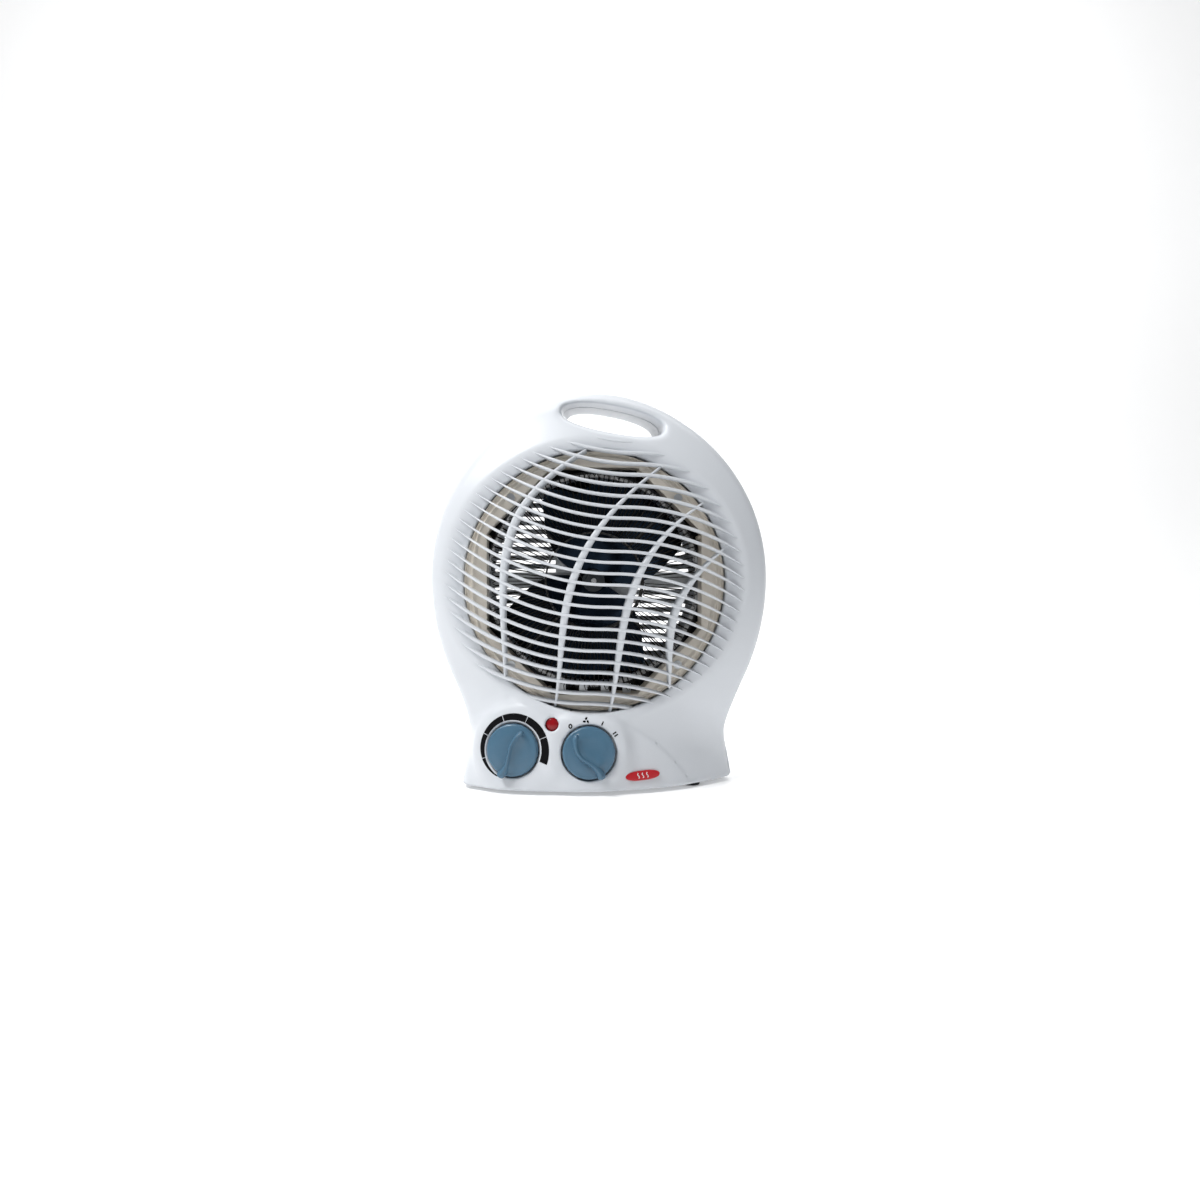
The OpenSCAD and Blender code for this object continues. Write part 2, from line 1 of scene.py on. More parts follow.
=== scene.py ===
"""Looks of an upright fan heater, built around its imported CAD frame: shells, slats, knobs, fan and wires."""

import json
import math

import bpy
import numpy as np
from mathutils import Matrix, Vector


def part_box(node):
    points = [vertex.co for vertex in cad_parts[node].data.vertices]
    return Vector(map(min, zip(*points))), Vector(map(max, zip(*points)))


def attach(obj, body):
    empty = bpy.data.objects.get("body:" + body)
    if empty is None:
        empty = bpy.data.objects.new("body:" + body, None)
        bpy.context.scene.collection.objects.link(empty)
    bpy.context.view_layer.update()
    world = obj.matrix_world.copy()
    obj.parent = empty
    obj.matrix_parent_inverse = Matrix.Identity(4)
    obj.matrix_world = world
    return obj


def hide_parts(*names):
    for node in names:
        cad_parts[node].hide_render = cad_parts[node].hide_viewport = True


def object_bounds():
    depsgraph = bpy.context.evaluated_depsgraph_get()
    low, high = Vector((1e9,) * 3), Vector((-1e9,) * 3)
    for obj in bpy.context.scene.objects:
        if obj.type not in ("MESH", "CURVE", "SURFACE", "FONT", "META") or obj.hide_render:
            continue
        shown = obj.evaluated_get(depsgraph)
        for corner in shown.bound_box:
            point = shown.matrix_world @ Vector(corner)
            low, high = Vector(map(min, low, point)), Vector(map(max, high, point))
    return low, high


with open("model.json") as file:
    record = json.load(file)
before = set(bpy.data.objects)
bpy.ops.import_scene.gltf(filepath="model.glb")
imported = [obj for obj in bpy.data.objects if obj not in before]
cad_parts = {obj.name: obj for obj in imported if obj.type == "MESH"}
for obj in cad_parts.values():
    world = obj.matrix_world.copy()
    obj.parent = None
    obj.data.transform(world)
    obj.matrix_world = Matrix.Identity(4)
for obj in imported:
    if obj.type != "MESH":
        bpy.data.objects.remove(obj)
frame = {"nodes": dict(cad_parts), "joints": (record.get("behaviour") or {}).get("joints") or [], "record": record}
CAD_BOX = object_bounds()
NODES = frame["nodes"]
JOINTS = {j["name"]: j for j in frame["joints"]}
MM = 0.001

# ---------------------------------------------------------------- dimensions, in millimetres
HALF_W = 1000 * CAD_BOX[1][0]
HEIGHT = 1000 * CAD_BOX[1][2]
FRONT_Y = 1000 * CAD_BOX[0][1]
REAR_Y = 1000 * CAD_BOX[1][1]
WALL = 2.5
WAIST_Z = 153
DOME_Z = 155
FRONT_R = 225
REAR_R = 330
UPPER_R = 139.5
LOWER_R = 183.5
CAP_R = 130
FOOT_H = 3
SKIN_LOW = 2.8
FOOT_HALF = 101
FLARE_HALF = 94
FLARE_Z = 40
FOOT_TOP = 66

BASE_X = -14
BASE_R = 150
BASE_FRONT = -56
BASE_LEAN = 0.15
REAR_BASE_R = 150
REAR_BASE_Y = 52
REAR_BASE_TOP = 62

SCREWS_AT = [(-88, 216), (88, 216), (-80, 44), (80, 44)]
CORD_AT = (58, 22)

FAN_X = 1000 * JOINTS["fan_spin"]["pos_m"][0]
FAN_Z = 1000 * JOINTS["fan_spin"]["pos_m"][2]
OUTLET_R = 94
DISH_HALF_W = 113
DISH_HALF_H = [101, 105]  # below and above the fan's axis
DISH_DEPTH = 5.6
COLLAR_END = 31
INTAKE_R = 78
GRILLE_PITCH = 7
GRILLE_POST = 27  # sideways from the fan's axis to each upright of the rear grille

GRIP_X = 9.2
GRIP_Z = 268.1
GRIP_TILT = math.radians(11)
GRIP_POWER = 2.3
GRIP_HALF_W = [38.6, 34.0]  # at the front and at the rear
GRIP_HALF_H = 10.6

SLAT_LOW = 55.5
SLAT_PITCH = 7.8
SLAT_COUNT = 26
SLAT_BEND = 0.00324
SLAT_SHIFT = 0.22
SLAT_T = 2.15
SLAT_DEPTH = 3.6
SLAT_REACH = 0.985  # part of the dish's size at which a slat ends
RIB_W = 5.6
RIB_TIP = 1.6
RIB_DEPTH = 5.6
RIB_SINK = 0.9

SEAT_R = [30, 26]
WELL_DEPTH = 2.6
KNOB_R = 18.8
KNOB_GAP = 0.6
KNOB_H = 5.5
FIN_LOW = 1.4
FIN_TOP = 11.4
SCALE_IN = 21.3  # inner radius of the printed wedge ring
MARK_R = 22.8  # radius on which the other knob's marks stand

DUCT_W = 156
DUCT_RISE = 4.5  # how much farther up and down the duct reaches than sideways
DUCT_FRONT = -33.3
DUCT_REAR = -8
BAFFLE_Y = -35
BAFFLE_R = 93.4
INNER_R = 36
FOLDS = 66
WIRE_R = 0.3
BLADE_ROOT = 7.5
BLADE_TIP = 75.6
BLADE_T = 1.2


def joint_frame(name):
    """Origin in millimetres and the three directions of a knob's plane: right, up and out."""
    joint = JOINTS[name]
    out = Vector(joint["axis"]).normalized()
    right = Vector((0, 0, 1)).cross(out).normalized()
    up = out.cross(right)
    return np.array(joint["pos_m"]) * 1000, np.array([right, up, out])


KNOBS = [joint_frame("thermostat_turn"), joint_frame("function_turn")]


# ---------------------------------------------------------------- signed distances, in millimetres
def smin(a, b, k):
    h = np.maximum(k - np.abs(a - b), 0) / k
    return np.minimum(a, b) - h * h * k / 4


def smax(a, b, k):
    return -smin(-a, -b, k)


def smooth_step(t):
    t = np.clip(t, 0, 1)
    return t * t * (3 - 2 * t)


def lens(x, z, r):
    return np.hypot(np.abs(x) + r - HALF_W, z - WAIST_Z) - r


def outline(x, z):
    upper = smax(lens(x, z, UPPER_R), np.hypot(x, z - HEIGHT + CAP_R) - CAP_R, 3)
    egg = np.where(z > WAIST_Z, upper, lens(x, z, LOWER_R))
    half = np.interp(z, [FOOT_H, FLARE_Z, FOOT_TOP], [FOOT_HALF, FLARE_HALF, FLARE_HALF])
    foot = smax(np.abs(x) - half, z - FOOT_TOP, 6)
    return smin(egg, foot, 15)


def edge_blend(z):
    """How far the front edge is rounded: crisp at the sides, softer over the top."""
    return np.interp(z, [60, 210, 285], [5, 6, 10])


def grip(x, y, z):
    """The finger opening: a slanted oval, fuller than an ellipse and narrower at the rear."""
    dx, dz = x - GRIP_X, z - GRIP_Z
    half_w = np.interp(y, [-40, 45], GRIP_HALF_W)
    u = (dx * math.cos(GRIP_TILT) - dz * math.sin(GRIP_TILT)) / half_w
    v = (dx * math.sin(GRIP_TILT) + dz * math.cos(GRIP_TILT)) / GRIP_HALF_H
    reach = (np.abs(u) ** GRIP_POWER + np.abs(v) ** GRIP_POWER + 1e-9) ** (1 / GRIP_POWER)
    slope = np.hypot(u / half_w, v / GRIP_HALF_H) / np.maximum(np.hypot(u, v), 1e-6)
    return (reach - 1) / np.maximum(slope, 1 / half_w)


def in_plane(plane, x, y, z):
    """Places told in a plane's own right, up and out directions."""
    origin, axes = plane
    d = np.stack([x - origin[0], y - origin[1], z - origin[2]])
    return [sum(axes[row][c] * d[c] for c in range(3)) for row in range(3)]


def panel(x, z):
    """The raised area that carries the knobs."""
    return np.hypot(x + 40, z + 60) - 126


def dish_reach(x, z):
    """Distance from the fan's axis, as a part of the dish's own size."""
    half_h = np.where(z > FAN_Z, DISH_HALF_H[1], DISH_HALF_H[0])
    return np.hypot((x - FAN_X) / DISH_HALF_W, (z - FAN_Z) / half_h)


def front_solid(x, y, z):
    """The front half as a full body: dome, bowed foot, knob seats and wells, finger opening and dish."""
    dome = np.sqrt(x * x + (y - FRONT_Y - FRONT_R) ** 2 + (z - DOME_Z) ** 2) - FRONT_R
    foot = np.hypot(x - BASE_X, y - BASE_FRONT - BASE_R) - (BASE_R - BASE_LEAN * z)
    mass = smin(dome, foot, 12)
    raised = smooth_step(-panel(x, z) / 4) * smooth_step((-y - 22) / 12)
    mass = mass - 1.1 * raised
    for knob, seat_r in zip(KNOBS, SEAT_R):
        u, v, w = in_plane(knob, x, y, z)
        seat = smax(smax(np.hypot(u, v) - seat_r, w, 6), -w - 20, 1)
        mass = smin(mass, seat, 12)
    mass = smax(mass, outline(x, z), edge_blend(z))
    mass = smax(mass, SKIN_LOW - z, 1.6)
    for knob in KNOBS:
        u, v, w = in_plane(knob, x, y, z)
        well = smax(np.hypot(u, v) - KNOB_R - 1.0, -w - WELL_DEPTH, 0.6)
        mass = smax(mass, -well, 0.7)
    mass = smax(mass, -grip(x, y, z), 4.5)
    edge = OUTLET_R / DISH_HALF_W
    return mass + DISH_DEPTH * smooth_step((1 - dish_reach(x, z)) / (1 - edge))


def front_field(x, y, z):
    """The front shell's wall with its outlet collar and its holes."""
    mass = front_solid(x, y, z)
    shell = smax(mass, -(mass + WALL), 0.5)
    reach = np.hypot(x - FAN_X, z - FAN_Z)
    collar = smax(np.maximum(np.abs(reach - OUTLET_R - 0.6) - 1.1, mass + 0.5), y + COLLAR_END, 0.5)
    shell = smin(shell, collar, 1.2)
    shell = smax(shell, OUTLET_R - reach, 1.5)
    for plane, hole_r in ((KNOBS[0], 5), (KNOBS[1], 5), (PILOT, PILOT_R + 0.05)):
        u, v, _ = in_plane(plane, x, y, z)
        shell = np.maximum(shell, hole_r - np.hypot(u, v))
    return smax(shell, y + 0.12, 0.5)


def rear_solid(x, y, z):
    dome = np.sqrt(x * x + (y - REAR_Y + REAR_R) ** 2 + (z - DOME_Z) ** 2) - REAR_R
    foot = np.hypot(x, y - REAR_BASE_Y + REAR_BASE_R) - REAR_BASE_R
    foot = smax(foot, z - REAR_BASE_TOP, 10)
    mass = smin(dome, foot, 12)
    mass = smax(mass, outline(x, z), 14)
    mass = smax(mass, SKIN_LOW - z, 3)
    return smax(mass, -grip(x, y, z), 3)


def rear_field(x, y, z):
    """The rear shell's wall with its screw pillars, intake and cord hole."""
    mass = rear_solid(x, y, z)
    shell = smax(mass, -(mass + WALL), 0.5)
    for sx, sz in SCREWS_AT:
        reach = np.hypot(x - sx, z - sz)
        pillar = np.maximum(np.maximum(reach - 6.5, mass), -y + 14)
        shell = smin(shell, pillar, 1.5)
        shell = smax(shell, 4.25 - reach, 0.8)
    shell = smax(shell, INTAKE_R - np.hypot(x - FAN_X, z - FAN_Z), 1.5)
    shell = np.maximum(shell, 5.95 - np.hypot(x - CORD_AT[0], z - CORD_AT[1]))
    return smax(shell, 0.12 - y, 0.5)


def foot_surface(x, z):
    return BASE_FRONT + BASE_R - math.sqrt((BASE_R - BASE_LEAN * z) ** 2 - (x - BASE_X) ** 2)


PILOT_X = -34.3
PILOT_Z = 49.5
PILOT_R = 4.8
PILOT = (np.array([PILOT_X, foot_surface(PILOT_X, PILOT_Z), PILOT_Z]),
         np.array(Matrix.Rotation(math.radians(-8), 3, "Z") @ Matrix.Rotation(math.radians(84), 3, "X")).T)


# ---------------------------------------------------------------- meshes
def surface_nets(field, low, high, step):
    """Closed quad mesh of field = 0, its points moved onto the true surface."""
    axes = [np.arange(a, b + step, step, dtype=np.float32) for a, b in zip(low, high)]
    value = field(*np.meshgrid(*axes, indexing="ij")).astype(np.float32)
    cells = np.array(value.shape) - 1
    total = np.zeros((*cells, 3), np.float32)
    count = np.zeros(cells, np.int16)
    crossings = []
    for axis in range(3):
        a = np.take(value, range(cells[axis]), axis)
        b = np.take(value, range(1, cells[axis] + 1), axis)
        edge = np.argwhere((a < 0) != (b < 0))
        others = [k for k in range(3) if k != axis]
        inner = np.all([(edge[:, k] > 0) & (edge[:, k] < cells[k]) for k in others], axis=0)
        edge = edge[inner]
        at = tuple(edge.T)
        place = edge.astype(np.float32)
        place[:, axis] += a[at] / (a[at] - b[at])
        crossings.append((axis, edge, a[at] < 0))
        for di in (0, 1):
            for dj in (0, 1):
                cell = edge.copy()
                cell[:, others[0]] -= di
                cell[:, others[1]] -= dj
                np.add.at(total, tuple(cell.T), place)
                np.add.at(count, tuple(cell.T), 1)
    used = count > 0
    index = -np.ones(cells, np.int64)
    index[used] = np.arange(used.sum())
    points = total[used] / count[used][:, None] * step + np.array(low, np.float32)
    faces = []
    for axis, edge, inside_first in crossings:
        j, k = [(1, 2), (2, 0), (0, 1)][axis]
        corners = []
        for dj, dk in ((1, 1), (0, 1), (0, 0), (1, 0)):
            cell = edge.copy()
            cell[:, j] -= dj
            cell[:, k] -= dk
            corners.append(index[tuple(cell.T)])
        quad = np.stack(corners, 1)
        quad[~inside_first] = quad[~inside_first][:, ::-1]
        faces.append(quad)
    return settle(field, points, 4, step), np.concatenate(faces)


def gradient(field, p, h=0.05):
    return np.stack([(field(*(p + d).T) - field(*(p - d).T)) / (2 * h) for d in np.eye(3) * h], 1)


def settle(field, points, rounds, reach):
    p = points.astype(np.float64)
    start = p.copy()
    for _ in range(rounds):
        slope = gradient(field, p)
        size = np.maximum((slope ** 2).sum(1), 0.2)
        p = p - (field(*p.T) / size)[:, None] * slope
        p = start + np.clip(p - start, -reach * 0.6, reach * 0.6)
    return p


def add_mesh(name, points, faces, smooth=True):
    mesh = bpy.data.meshes.new(name)
    mesh.from_pydata((np.asarray(points) * MM).tolist(), [], [list(map(int, f)) for f in faces])
    mesh.validate()
    mesh.update()
    if smooth:
        mesh.shade_smooth()
    obj = bpy.data.objects.new(name, mesh)
    bpy.context.scene.collection.objects.link(obj)
    return obj


class Build:
    """Collects several closed surfaces into one mesh."""

    def __init__(self):
        self.points, self.faces, self.count = [], [], 0

    def add(self, points, faces):
        points = np.asarray(points, float).reshape(-1, 3)
        self.points.append(points)
        self.faces += [[int(i) + self.count for i in f] for f in faces]
        self.count += len(points)

    def loft(self, rings, closed=False, caps=True):
        """A skin through rings of points; the rings run round their own middle the same way."""
        rings = np.asarray(rings, float)
        n, m = rings.shape[:2]
        faces = []
        for i in range(n if closed else n - 1):
            for k in range(m):
                a, b = i * m, (i + 1) % n * m
                faces.append([a + k, a + (k + 1) % m, b + (k + 1) % m, b + k])
        if caps and not closed:
            faces.append(list(range(m))[::-1])
            faces.append([(n - 1) * m + k for k in range(m)])
        self.add(rings.reshape(-1, 3), faces)

    def lathe(self, profile, origin, axes, n=64):
        """Turns (radius, height) points round the third axis at origin."""
        turn = np.linspace(0, 2 * math.pi, n, endpoint=False)
        rings = [[origin + r * math.cos(a) * axes[0] + r * math.sin(a) * axes[1] + h * axes[2] for a in turn]
                 for r, h in profile]
        self.loft(rings)

    def object(self, name, angle=None):
        obj = add_mesh(name, np.concatenate(self.points), self.faces)
        if angle:
            with bpy.context.temp_override(object=obj, active_object=obj, selected_objects=[obj],
                                           selected_editable_objects=[obj]):
                bpy.ops.object.shade_smooth_by_angle(angle=math.radians(angle))
        return obj


def round_bar(n=12, power=3.2):
    """Points round a rounded rectangle of half sizes 1 and 1."""
    out = []
    for i in range(n):
        a = 2 * math.pi * (i + 0.5) / n
        c, s = math.cos(a), math.sin(a)
        out.append((math.copysign(abs(c) ** (2 / power), c), math.copysign(abs(s) ** (2 / power), s)))
    return np.array(out)


def tube(build, path, radius, n=8, closed=False):
    """A round tube along a path, its rings kept from twisting."""
    path = np.asarray(path, float)
    ahead = np.roll(path, -1, 0) - np.roll(path, 1, 0)
    if not closed:
        ahead[0], ahead[-1] = path[1] - path[0], path[-1] - path[-2]
    ahead /= np.linalg.norm(ahead, axis=1)[:, None]
    side = np.cross(ahead[0], [0.31, 0.83, 0.47])
    rings = []
    for p, t in zip(path, ahead):
        side = side - t * side.dot(t)
        side /= np.linalg.norm(side)
        up = np.cross(t, side)
        rings.append([p + radius * (math.cos(a) * side + math.sin(a) * up)
                      for a in np.linspace(0, 2 * math.pi, n, endpoint=False)])
    build.loft(rings, closed=closed)


Y_AXES = np.array([[1, 0, 0], [0, 0, 1], [0, -1, 0]], float)  # right, up and towards the front


def dome_y(x, z):
    return FRONT_Y + FRONT_R - np.sqrt(FRONT_R ** 2 - x * x - (z - DOME_Z) ** 2)


def dome_normal(x, z):
    n = np.array([x, dome_y(x, z) - FRONT_Y - FRONT_R, z - DOME_Z])
    return n / np.linalg.norm(n)


# ---------------------------------------------------------------- materials
def material(name, color, rough=0.5, metal=0.0, bump=0.0, scale=300, tint=0.0, **sockets):
    """A Principled surface with fine bump and a slight drift of its colour."""
    mat = bpy.data.materials.new(name)
    mat.use_nodes = True
    tree = mat.node_tree
    bsdf = tree.nodes["Principled BSDF"]
    bsdf.inputs["Base Color"].default_value = (*color, 1)
    bsdf.inputs["Roughness"].default_value = rough
    bsdf.inputs["Metallic"].default_value = metal
    for key, value in sockets.items():
        bsdf.inputs[key.replace("_", " ")].default_value = value
    place = tree.nodes.new("ShaderNodeTexCoord")
    if bump:
        noise = tree.nodes.new("ShaderNodeTexNoise")
        noise.inputs["Scale"].default_value = scale
        noise.inputs["Detail"].default_value = 4
        node = tree.nodes.new("ShaderNodeBump")
        node.inputs["Strength"].default_value = bump
        node.inputs["Distance"].default_value = 0.0004
        tree.links.new(place.outputs["Object"], noise.inputs["Vector"])
        tree.links.new(noise.outputs["Fac"], node.inputs["Height"])
        tree.links.new(node.outputs["Normal"], bsdf.inputs["Normal"])
    if tint:
        drift = tree.nodes.new("ShaderNodeTexNoise")
        drift.inputs["Scale"].default_value = scale / 12
        drift.inputs["Detail"].default_value = 3
        ramp = tree.nodes.new("ShaderNodeMapRange")
        ramp.inputs["To Min"].default_value = 1 - tint
        ramp.inputs["To Max"].default_value = 1 + tint
        shade = tree.nodes.new("ShaderNodeVectorMath")
        shade.operation = "SCALE"
        shade.inputs[0].default_value = color
        tree.links.new(place.outputs["Object"], drift.inputs["Vector"])
        tree.links.new(drift.outputs["Fac"], ramp.inputs["Value"])
        tree.links.new(ramp.outputs["Result"], shade.inputs["Scale"])
        tree.links.new(shade.outputs["Vector"], bsdf.inputs["Base Color"])
        gloss = tree.nodes.new("ShaderNodeMapRange")
        gloss.inputs["To Min"].default_value = max(rough - 0.06, 0.02)
        gloss.inputs["To Max"].default_value = min(rough + 0.06, 1)
        tree.links.new(drift.outputs["Fac"], gloss.inputs["Value"])
        tree.links.new(gloss.outputs["Result"], bsdf.inputs["Roughness"])
    return mat


MATERIALS = {
    "white_plastic": material("white_plastic", (0.66, 0.685, 0.72), 0.34, bump=0.12, scale=900, tint=0.012,
                              Specular_IOR_Level=0.45),
    "blue_plastic": material("blue_plastic", (0.07, 0.155, 0.235), 0.24, bump=0.25, scale=1400, tint=0.05),
    "black_rubber": material("black_rubber", (0.02, 0.02, 0.022), 0.8, bump=0.3, scale=900, tint=0.1),
    "zinc_steel": material("zinc_steel", (0.58, 0.6, 0.62), 0.32, 1.0, bump=0.15, scale=500, tint=0.06),
    "bright_steel": material("bright_steel", (0.7, 0.7, 0.71), 0.2, 1.0, bump=0.1, scale=700, tint=0.04),
    "badge_red": material("badge_red", (0.5, 0.004, 0.012), 0.35, bump=0.05, scale=900, tint=0.04),
    "red_lens": material("red_lens", (0.32, 0.003, 0.008), 0.14, bump=0.05, scale=400, tint=0.05,
                         Transmission_Weight=0.15, IOR=1.49),
    "lamp_glass": material("lamp_glass", (0.95, 0.75, 0.6), 0.05, bump=0.03, scale=400, tint=0.04,
                           Transmission_Weight=0.9),
    "ivory_plastic": material("ivory_plastic", (0.72, 0.68, 0.58), 0.5, bump=0.2, scale=700, tint=0.04),
    "bimetal": material("bimetal", (0.62, 0.42, 0.2), 0.32, 1.0, bump=0.1, scale=600, tint=0.08),
    "mica": material("mica", (0.47, 0.42, 0.35), 0.5, bump=0.5, scale=420, tint=0.22),
    # Painted shade: the heating wire's near-black colour stands in for the shade inside the duct; the alloy itself
    # is a grey metal.
    "heating_alloy": material("heating_alloy", (0.014, 0.012, 0.01), 0.6, bump=0.2, scale=900, tint=0.2,
                              Specular_IOR_Level=0.12),
    "cutout_metal": material("cutout_metal", (0.72, 0.72, 0.72), 0.3, 1.0, bump=0.1, scale=500, tint=0.05),
    "fuse_body": material("fuse_body", (0.6, 0.59, 0.55), 0.4, bump=0.1, scale=500, tint=0.06),
    "shroud_steel": material("shroud_steel", (0.03, 0.032, 0.036), 0.42, 0.4, bump=0.3, scale=160,
                             tint=0.18),
    "lamination_steel": material("lamination_steel", (0.2, 0.21, 0.23), 0.45, 0.8, bump=0.3, scale=600,
                                 tint=0.15),
    "coil_tape": material("coil_tape", (0.5, 0.27, 0.03), 0.4, bump=0.3, scale=300, tint=0.1),
    "bronze": material("bronze", (0.5, 0.3, 0.13), 0.5, 1.0, bump=0.4, scale=1200, tint=0.1),
    # Painted reflection: the blue specular tint gives the black blades blue reflections in place of a blue light.
    "black_fan": material("black_fan", (0.004, 0.0045, 0.006), 0.18, bump=0.06, scale=260, tint=0.1,
                          Specular_Tint=(0.35, 0.6, 1.0, 1)),
    "brown_wire": material("brown_wire", (0.14, 0.05, 0.02), 0.4, bump=0.1, scale=500, tint=0.08),
    "white_wire": material("white_wire", (0.75, 0.75, 0.72), 0.4, bump=0.1, scale=500, tint=0.04),
    "blue_wire": material("blue_wire", (0.02, 0.09, 0.35), 0.4, bump=0.1, scale=500, tint=0.08),
}
# Painted shade: a near-black copy of mica for the inner ring and cross boards, deep in the shadowed middle of the
# duct.
MICA_PAINTED_SHADE = material("mica_painted_shade", (0.03, 0.028, 0.026), 0.5, bump=0.4, scale=420, tint=0.15)
# Painted light: a lighter copy of mica, brightened for the baffle plate that is lit at the front of the duct.
MICA_PAINTED_LIGHT = material("mica_painted_light", (0.74, 0.685, 0.6), 0.45, bump=0.4, scale=420, tint=0.08)
INK = material("ink", (0.002, 0.002, 0.003), 0.8, bump=0.1, scale=900, tint=0.1, Specular_IOR_Level=0.15)
SYMBOL_WHITE = material("symbol_white", (0.8, 0.8, 0.8), 0.4, bump=0.05, scale=900, tint=0.02)

SLOT_OF = {part["node"]: part["material_slot"] for part in frame["record"]["subparts"]}
# Painted shade: the fan's nut and washer, zinc steel in their slot, get a near-black steel for their shaded place
# at the hub.
STEEL_PAINTED_SHADE = material("steel_painted_shade", (0.06, 0.066, 0.072), 0.4, 0.9, bump=0.15, scale=500, tint=0.08)
PAINTED_SHADE_NODES = ("fan_nut", "fan_washer")
for node_name, node in NODES.items():
    look = STEEL_PAINTED_SHADE if node_name in PAINTED_SHADE_NODES else MATERIALS[SLOT_OF[node_name]]
    node.data.materials.clear()
    node.data.materials.append(look)


def dress(obj, slot, body, replaces=None, mat=None):
    obj.data.materials.append(mat or MATERIALS[slot])
    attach(obj, body)
    if replaces:
        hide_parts(replaces)
    return obj


# ---------------------------------------------------------------- shells
SHELL_STEP = 1.4
FRONT_LOW = (-HALF_W - 1.8, FRONT_Y - 2, FOOT_H - 2)
FRONT_HIGH = (HALF_W + 1.8, 1.5, HEIGHT + 2)
REAR_LOW = (-HALF_W - 1.8, -1.5, FOOT_H - 2)
REAR_HIGH = (HALF_W + 1.8, REAR_Y + 2, HEIGHT + 2)


def slat_centre(z):
    return 7 + SLAT_SHIFT * (z - FAN_Z)


def slat_z(x, z):
    d = x - slat_centre(z)
    return z - SLAT_BEND * d * np.abs(d)


def add_slats(build):
    section = round_bar(12, 3)
    for k in range(SLAT_COUNT):
        level = SLAT_LOW + k * SLAT_PITCH
        xs = np.linspace(-118, 114, 465)
        zs = slat_z(xs, level)
        within = np.where(dish_reach(xs, zs) < SLAT_REACH)[0]
        if len(within) < 20:
            continue
        stations = np.linspace(xs[within[0]], xs[within[-1]], 72)
        rings = []
        for i, x in enumerate(stations):
            z = slat_z(x, level)
            end = min(i, len(stations) - 1 - i) / 10
            fade = smooth_step(end)
            slope = slat_z(x + 0.5, level) - slat_z(x - 0.5, level)
            side = np.array([-slope, 0, 1]) / math.hypot(slope, 1)
            normal = dome_normal(x, z)
            top = -0.7 + 0.7 * fade
            half_t = SLAT_T / 2 * (0.35 + 0.65 * fade)
            middle = np.array([x, dome_y(x, z), z]) + normal * (top - SLAT_DEPTH / 2)
            rings.append([middle + s * half_t * side + t * SLAT_DEPTH / 2 * normal for s, t in section])
        build.loft(rings)


RIB_CURVES = [
    [(-14, 243), (-76, 203), (-71, 168), (-69, 88)],
    [(39, 230), (-36, 170), (-24, 122), (-32, 66)],
    [(70, 205), (8, 162), (17, 108), (7, 57)],
    [(86, 172), (42, 136), (50, 110), (50, 77)],
]


def bezier(c, t):
    c = np.array(c, float)
    return ((1 - t) ** 3 * c[0] + 3 * t * (1 - t) ** 2 * c[1] + 3 * t * t * (1 - t) * c[2] + t ** 3 * c[3])


def add_ribs(build):
    section = round_bar(12, 3.4)
    for curve in RIB_CURVES:
        rings = []
        for t in np.linspace(-0.02, 1.03, 64):
            x, z = bezier(curve, t)
            along = bezier(curve, t + 0.005) - bezier(curve, t - 0.005)
            side = np.array([-along[1], 0, along[0]]) / np.hypot(*along)
            normal = dome_normal(x, z)
            belly = math.sin(math.pi * np.clip(t * 0.93 + 0.02, 0, 1)) ** 1.3
            half = (RIB_TIP + (RIB_W - RIB_TIP) * belly) / 2
            middle = np.array([x, dome_y(x, z), z]) + normal * (-RIB_SINK - RIB_DEPTH / 2)
            rings.append([middle + s * half * side + q * RIB_DEPTH / 2 * normal for s, q in section])
        build.loft(rings)


def make_front_shell():
    build = Build()
    build.add(*surface_nets(front_field, FRONT_LOW, FRONT_HIGH, SHELL_STEP))
    add_slats(build)
    add_ribs(build)
    dress(build.object("front_shell_skin"), "white_plastic", "casing", "front_shell")


def rear_y_at(x, z):
    return REAR_Y - REAR_R + math.sqrt(REAR_R ** 2 - x * x - (z - DOME_Z) ** 2)


def make_rear_shell():
    build = Build()
    build.add(*surface_nets(rear_field, REAR_LOW, REAR_HIGH, SHELL_STEP))
    section = round_bar(12, 4)
    for k in range(-11, 11):
        dz = (k + 0.5) * GRILLE_PITCH
        half = math.sqrt((INTAKE_R + 1.5) ** 2 - dz ** 2)
        rings = []
        for x in np.linspace(FAN_X - half, FAN_X + half, 36):
            z = FAN_Z + dz
            y = rear_y_at(x, z) - 0.35
            rings.append([(x, y - 1.3 + 1.3 * t, z + 2.1 * s) for s, t in section])
        build.loft(rings)
    for x in (FAN_X - GRILLE_POST, FAN_X + GRILLE_POST):
        half = math.sqrt((INTAKE_R + 1.5) ** 2 - GRILLE_POST ** 2)
        rings = []
        for z in np.linspace(FAN_Z - half, FAN_Z + half, 36):
            y = rear_y_at(x, z) - 1.2
            rings.append([(x + 1.3 * s, y - 1.6 + 1.6 * t, z) for s, t in section])
        build.loft(rings)
    dress(build.object("rear_shell_skin"), "white_plastic", "casing", "rear_shell")


# ---------------------------------------------------------------- knobs
# Middle line of each grip fin at rest, as (right, up) in the knob's plane
FINS = [
    [(8.8, 13.2), (4.6, 9.6), (1.0, 4.2), (-0.8, -2.8), (-2.4, -10.0), (-5.6, -15.6), (-9.0, -18.4)],
    [(-8.6, 13.4), (-9.2, 8.0), (-8.2, 1.8), (-4.6, -3.6), (0.8, -7.0), (5.6, -10.8), (8.4, -14.8),
     (9.6, -18.3)],
]


